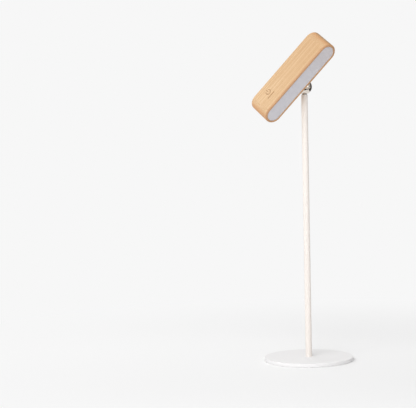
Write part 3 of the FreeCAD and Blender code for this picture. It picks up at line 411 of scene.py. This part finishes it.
# Painted shade: the paper is darker towards the front, evening out the key light that falls there.
FLOOR_BACK = linear(242, 242, 242)
FLOOR_FRONT = linear(232, 232, 232)
FLOOR_BACK_Y, FLOOR_FRONT_Y = 0.25, -0.35
FLOOR_RADIUS = 6.0
FLOOR_SIDES = 96
FLOOR_UNDER_FOOT = 0.4 * MM
FADE_START, FADE_END = 0.22, 0.75   # distances from the foot's middle


def add_mesh(name, points, faces, material):
    mesh = bpy.data.meshes.new(name)
    mesh.from_pydata(points, [], faces)
    mesh.materials.append(material)
    made = bpy.data.objects.new(name, mesh)
    bpy.context.scene.collection.objects.link(made)
    return made


def make_paper():
    """Paper that fades into the plain background where the camera sees it, and is clear from below."""
    tree = material_tree("floor_paper")
    place = tree.node("TexCoord").outputs["Object"]
    tooth = tree.noise(tree.place(), 0.8, detail=2)
    # Painted shade, darker towards the front, evening out the key light there.
    depth = tree.remap(tree.axis(place, "Y"), FLOOR_BACK_Y, FLOOR_FRONT_Y)
    tone = tree.mix(depth, FLOOR_BACK, FLOOR_FRONT)
    paper = tree.node("BsdfDiffuse", {"Color": tone, "Normal": tree.bump(tooth, 0.02, 0.2)})
    plain = tree.node("Emission", {"Color": BACKGROUND, "Strength": 1.0})
    distance = tree.vector("LENGTH", place)
    seen = tree.node("LightPath").outputs["Is Camera Ray"]
    share = tree.math("MULTIPLY", tree.remap(distance, FADE_START, FADE_END), seen)
    top = tree.node("MixShader", {0: share, 1: paper.outputs[0], 2: plain.outputs[0]})
    below = tree.node("BsdfTransparent")
    behind = tree.node("NewGeometry").outputs["Backfacing"]
    return tree.shade(tree.node("MixShader", {0: behind, 1: top.outputs[0], 2: below.outputs[0]}))


def make_floor():
    """Pale floor that keeps the shadow, open under the foot, so that the underside can be seen."""
    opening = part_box("base_pad")[1][0] - FLOOR_UNDER_FOOT
    turns = [2 * math.pi * index / FLOOR_SIDES for index in range(FLOOR_SIDES)]
    points = [(radius * math.cos(turn), radius * math.sin(turn), 0.0)
              for radius in (opening, FLOOR_RADIUS) for turn in turns]
    faces = []
    for index in range(FLOOR_SIDES):
        after = (index + 1) % FLOOR_SIDES
        faces.append((index, FLOOR_SIDES + index, FLOOR_SIDES + after, after))
    floor = add_mesh("floor", points, faces, make_paper())


WORLD_LIGHT = 0.535
WORLD_LEAN = (-0.18, 0, 0.15)
FAR_SIDE = (0.0, 0.3)               # Y of a direction towards the studio's far side


def make_world():
    """Soft light, stronger from the left and from above.

    The camera sees a plain background instead, and so does what mirrors the studio's far side.
    """
    world = bpy.data.worlds.new("studio")
    bpy.context.scene.world = world
    tree = Tree(world, "OutputWorld")
    direction = tree.node("TexCoord").outputs["Generated"]
    ray = tree.node("LightPath").outputs
    far_side = tree.remap(tree.axis(direction, "Y"), *FAR_SIDE)
    mirrored = tree.math("MULTIPLY", ray["Is Glossy Ray"], far_side)
    seen = tree.math("MAXIMUM", ray["Is Camera Ray"], ray["Is Transmission Ray"])
    strength = tree.math("ADD", tree.vector("DOT_PRODUCT", direction, WORLD_LEAN), WORLD_LIGHT)
    room = tree.node("Background", {"Color": (1, 1, 1, 1), "Strength": strength})
    plain = tree.node("Background", {"Color": BACKGROUND, "Strength": 1.0})
    tree.shade(tree.node("MixShader", {
        0: tree.math("MAXIMUM", seen, mirrored), 1: room.outputs[0], 2: plain.outputs[0]}))


# Place, width, height and power in watts of each softbox.
SOFTBOXES = {
    "key": ((-1.0, -1.99, 2.4), 2.0, 2.0, 43),
    "front": ((-0.43, -2.44, 1.23), 1.4, 1.4, 17.5),
    "fill": ((1.31, -1.0, 0.58), 0.9, 0.6, 1.7),
    "back": ((-1.2, 1.6, 1.4), 1.4, 1.4, 6),
}


def make_lights():
    """Softboxes that face the head."""
    for name, (place, width, height, watts) in SOFTBOXES.items():
        light = bpy.data.lights.new(name, "AREA")
        light.shape = "RECTANGLE"
        light.size = width
        light.size_y = height
        light.energy = watts
        box = bpy.data.objects.new(name, light)
        bpy.context.scene.collection.objects.link(box)
        box.location = place
        box.rotation_euler = (BALL_CENTRE - Vector(place)).to_track_quat("-Z", "Y").to_euler()


STUDIO_FLOOR = linear(190, 184, 178)
STUDIO_FLOOR_HEIGHT = 0.002
STUDIO_FLOOR_CORNERS = [(0.1, -0.78), (0.42, -0.7), (0.7, -0.45), (1.2, -0.1),
                        (1.9, -0.1), (1.9, -1.1), (0.9, -1.5), (0.1, -1.5)]
DARK_ROOM = linear(76, 72, 68)
DARK_ROOM_ENDS = [(1.05, 0.2), (0.35, 1.0)]
DARK_ROOM_FOOT, DARK_ROOM_TOP = 0.02, 0.95
TABLE_EDGE = linear(42, 39, 36)
TABLE_EDGE_HEIGHT = 0.003
TABLE_EDGE_CORNERS = [(-0.15, -0.8), (0.25, -0.67), (0.58, -0.34), (1.3, -0.1),
                      (1.3, 0.9), (0.575, 0.9), (0.515, 0.25), (0.76, -0.05),
                      (0.475, -0.25), (0.25, -0.34), (-0.15, -0.3)]


def make_flag(name, colour, corners):
    """Card that shows in reflections alone."""
    tree = material_tree(name + "_cloth")
    weave = tree.noise(tree.place(), 1.5)
    cloth = tree.node("BsdfDiffuse", {
        "Color": tree.mix(weave, tinted(colour, 0.9), tinted(colour, 1.1))})
    flag = add_mesh(name, corners, [tuple(range(len(corners)))], tree.shade(cloth))
    flag.visible_camera = False
    flag.visible_diffuse = False
    flag.visible_shadow = False
    flag.visible_transmission = False


def make_flags():
    """The studio's floor before the table, the dark room and the table's edge, for the ball to mirror."""
    make_flag("studio_floor_flag", STUDIO_FLOOR,
              [(x, y, STUDIO_FLOOR_HEIGHT) for x, y in STUDIO_FLOOR_CORNERS])
    make_flag("room_flag", DARK_ROOM,
              [(x, y, DARK_ROOM_FOOT) for x, y in DARK_ROOM_ENDS]
              + [(x, y, DARK_ROOM_TOP) for x, y in reversed(DARK_ROOM_ENDS)])
    make_flag("table_edge_flag", TABLE_EDGE,
              [(x, y, TABLE_EDGE_HEIGHT) for x, y in TABLE_EDGE_CORNERS])


# ---------------------------------------------------------------- camera

PHOTO_WIDTH = 416
FOCAL_PIXELS = 1463.6
SENSOR_MM = 36
CAMERA_PLACE = (0, -2.3, 0.397)
CAMERA_YAW, CAMERA_PITCH, CAMERA_ROLL = 3.848, -3.647, 1.221


def make_camera():
    """Camera in front of the lamp, turned from a view along +Y by its yaw, pitch and roll."""
    data = bpy.data.cameras.new("camera")
    data.sensor_width = SENSOR_MM
    data.lens = FOCAL_PIXELS / PHOTO_WIDTH * SENSOR_MM
    camera = bpy.data.objects.new("camera", data)
    bpy.context.scene.collection.objects.link(camera)
    turn = Matrix.Rotation(math.radians(CAMERA_YAW), 4, "Z")
    turn = turn @ Matrix.Rotation(math.radians(CAMERA_PITCH), 4, "X")
    turn = turn @ Matrix.Rotation(math.radians(CAMERA_ROLL), 4, "Y")
    turn = turn @ Matrix.Rotation(math.radians(90), 4, "X")     # from a view down to one along +Y
    camera.matrix_world = Matrix.Translation(CAMERA_PLACE) @ turn
    bpy.context.scene.camera = camera


bpy.context.scene.view_settings.view_transform = "Standard"
dress()
make_floor()
make_world()
make_lights()
make_flags()
make_camera()
